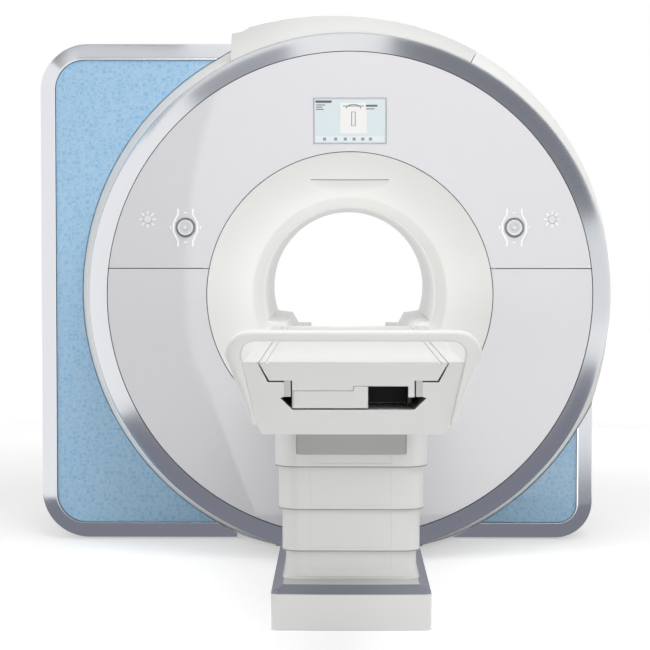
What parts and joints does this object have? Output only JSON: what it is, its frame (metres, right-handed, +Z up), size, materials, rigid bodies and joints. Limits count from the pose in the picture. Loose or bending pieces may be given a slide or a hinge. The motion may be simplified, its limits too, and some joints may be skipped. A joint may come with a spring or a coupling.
{
  "type": "mri scanner",
  "caption": "Whole-body MRI scanner with a silver-ringed white front face, funnelled patient bore and a lifting patient table on a telescopic column.",
  "frame": {"origin": "on the floor, at the middle of the machine's footprint from the table's foot end to the rear cover", "axes": "+Z up; +Y from the table's foot end into the bore; +X to the right as seen from the table's foot end"},
  "size_m": [2.347, 4.161, 2.1671],
  "materials": {
    "white_gloss": "gloss",
    "silver_paint": "satin",
    "blue_panel": "satin",
    "warm_white": "satin",
    "pearl_panel": "gloss",
    "hoop_lacquer": "satin",
    "grey_plastic": "satin",
    "dark_plastic": "matt",
    "button_white": "gloss",
    "screen_glass": "gloss",
    "vessel_steel": "satin",
    "alloy": "satin",
    "copper_coil": "satin",
    "coil_plastic": "matt",
    "glide_plastic": "matt",
    "belt_rubber": "matt"
  },
  "bodies": {
    "scanner": {"base_plate": "warm_white", "base_plinth": "warm_white", "base_trim": "silver_paint", "body_coil": "coil_plastic", "bore_liner": "white_gloss", "bore_track": "white_gloss", "coil_former": "alloy", "cold_head": "vessel_steel", "column_cover_base": "warm_white", "display_bezel": "dark_plastic", "display_screen": "screen_glass", "face_panel_lower": "pearl_panel", "face_panel_upper": "pearl_panel", "face_ring": "silver_paint", "front_funnel": "white_gloss", "gradient_coil": "alloy", "guide_tube_fixed": "vessel_steel", "left_frame": "silver_paint", "left_inlay": "blue_panel", "left_side_cover": "white_gloss", "lift_pump": "vessel_steel", "lift_ram_fixed": "vessel_steel", "magnet_feet": "vessel_steel", "main_coils": "copper_coil", "rear_cover": "white_gloss", "rear_funnel": "white_gloss", "right_frame": "silver_paint", "right_inlay": "blue_panel", "right_side_cover": "white_gloss", "ring_collar": "white_gloss", "service_turret": "vessel_steel", "suspension_rods": "vessel_steel", "top_hood": "white_gloss", "vacuum_vessel": "vessel_steel"},
    "tabletop": {"tabletop": "warm_white", "end_cover": "warm_white", "belt_clamp": "alloy"},
    "lift": {"table_frame": "warm_white", "column_cover_top": "warm_white", "drive_bay_cover": "alloy", "glide_strips": "glide_plastic", "table_hoop": "hoop_lacquer", "cable_box": "grey_plastic", "guide_tube_top": "vessel_steel", "lift_ram_top": "vessel_steel", "drive_motor": "vessel_steel", "drive_belt": "belt_rubber"},
    "upper_cover": {"column_cover_upper": "warm_white"},
    "lower_cover": {"column_cover_lower": "warm_white"},
    "middle_stage": {"guide_tube_middle": "vessel_steel", "lift_ram_middle": "vessel_steel"},
    "front_pulley": {"idler_pulley": "vessel_steel"},
    "rear_pulley": {"drive_pulley": "vessel_steel"},
    "left_dial": {"left_knob": "dark_plastic"},
    "left_dial_push": {"left_knob_button": "button_white"},
    "left_lamp_push": {"left_lamp_button": "button_white"},
    "right_dial": {"right_knob": "dark_plastic"},
    "right_dial_push": {"right_knob_button": "button_white"},
    "right_lamp_push": {"right_lamp_button": "button_white"}
  },
  "joints": [
    {"name": "table_lift", "type": "slide", "parent": "scanner", "child": "lift", "axis": [0, 0, 1], "range_m": [-0.36, 0]},
    {"name": "upper_cover_slide", "type": "slide", "parent": "scanner", "child": "upper_cover", "axis": [0, 0, 1], "range_m": [-0.225, 0]},
    {"name": "lower_cover_slide", "type": "slide", "parent": "scanner", "child": "lower_cover", "axis": [0, 0, 1], "range_m": [-0.064, 0]},
    {"name": "middle_stage_slide", "type": "slide", "parent": "scanner", "child": "middle_stage", "axis": [0, 0, 1], "range_m": [-0.18, 0]},
    {"name": "tabletop_travel", "type": "slide", "parent": "lift", "child": "tabletop", "axis": [0, 1, 0], "range_m": [0, 1.8]},
    {"name": "front_pulley_turn", "type": "hinge", "parent": "lift", "child": "front_pulley", "pos_m": [0.1335, -1.9345, 0.7735], "axis": [1, 0, 0], "continuous": true},
    {"name": "rear_pulley_turn", "type": "hinge", "parent": "lift", "child": "rear_pulley", "pos_m": [0.1335, 0.1955, 0.7735], "axis": [1, 0, 0], "continuous": true},
    {"name": "left_dial_turn", "type": "hinge", "parent": "scanner", "child": "left_dial", "pos_m": [-0.512, 0.3555, 1.3205], "axis": [0, -1, 0], "range_deg": [-150, 150]},
    {"name": "left_dial_button", "type": "slide", "parent": "left_dial", "child": "left_dial_push", "axis": [0, 1, 0], "range_m": [0, 0.0025], "stiffness_N_per_m": 400, "springref_m": -0.002},
    {"name": "left_lamp_switch", "type": "slide", "parent": "scanner", "child": "left_lamp_push", "axis": [0, 1, 0], "range_m": [0, 0.002], "stiffness_N_per_m": 500, "springref_m": -0.002},
    {"name": "right_dial_turn", "type": "hinge", "parent": "scanner", "child": "right_dial", "pos_m": [0.779, 0.3555, 1.3205], "axis": [0, -1, 0], "range_deg": [-150, 150]},
    {"name": "right_dial_button", "type": "slide", "parent": "right_dial", "child": "right_dial_push", "axis": [0, 1, 0], "range_m": [0, 0.0025], "stiffness_N_per_m": 400, "springref_m": -0.002},
    {"name": "right_lamp_switch", "type": "slide", "parent": "scanner", "child": "right_lamp_push", "axis": [0, 1, 0], "range_m": [0, 0.002], "stiffness_N_per_m": 500, "springref_m": -0.002}
  ],
  "couplings": [
    {"joint": "upper_cover_slide", "follows": "table_lift", "ratio": 0.62},
    {"joint": "lower_cover_slide", "follows": "table_lift", "ratio": 0.175},
    {"joint": "middle_stage_slide", "follows": "table_lift", "ratio": 0.5},
    {"joint": "front_pulley_turn", "follows": "tabletop_travel", "rad_per_m": -56.18},
    {"joint": "rear_pulley_turn", "follows": "tabletop_travel", "rad_per_m": -56.18}
  ]
}
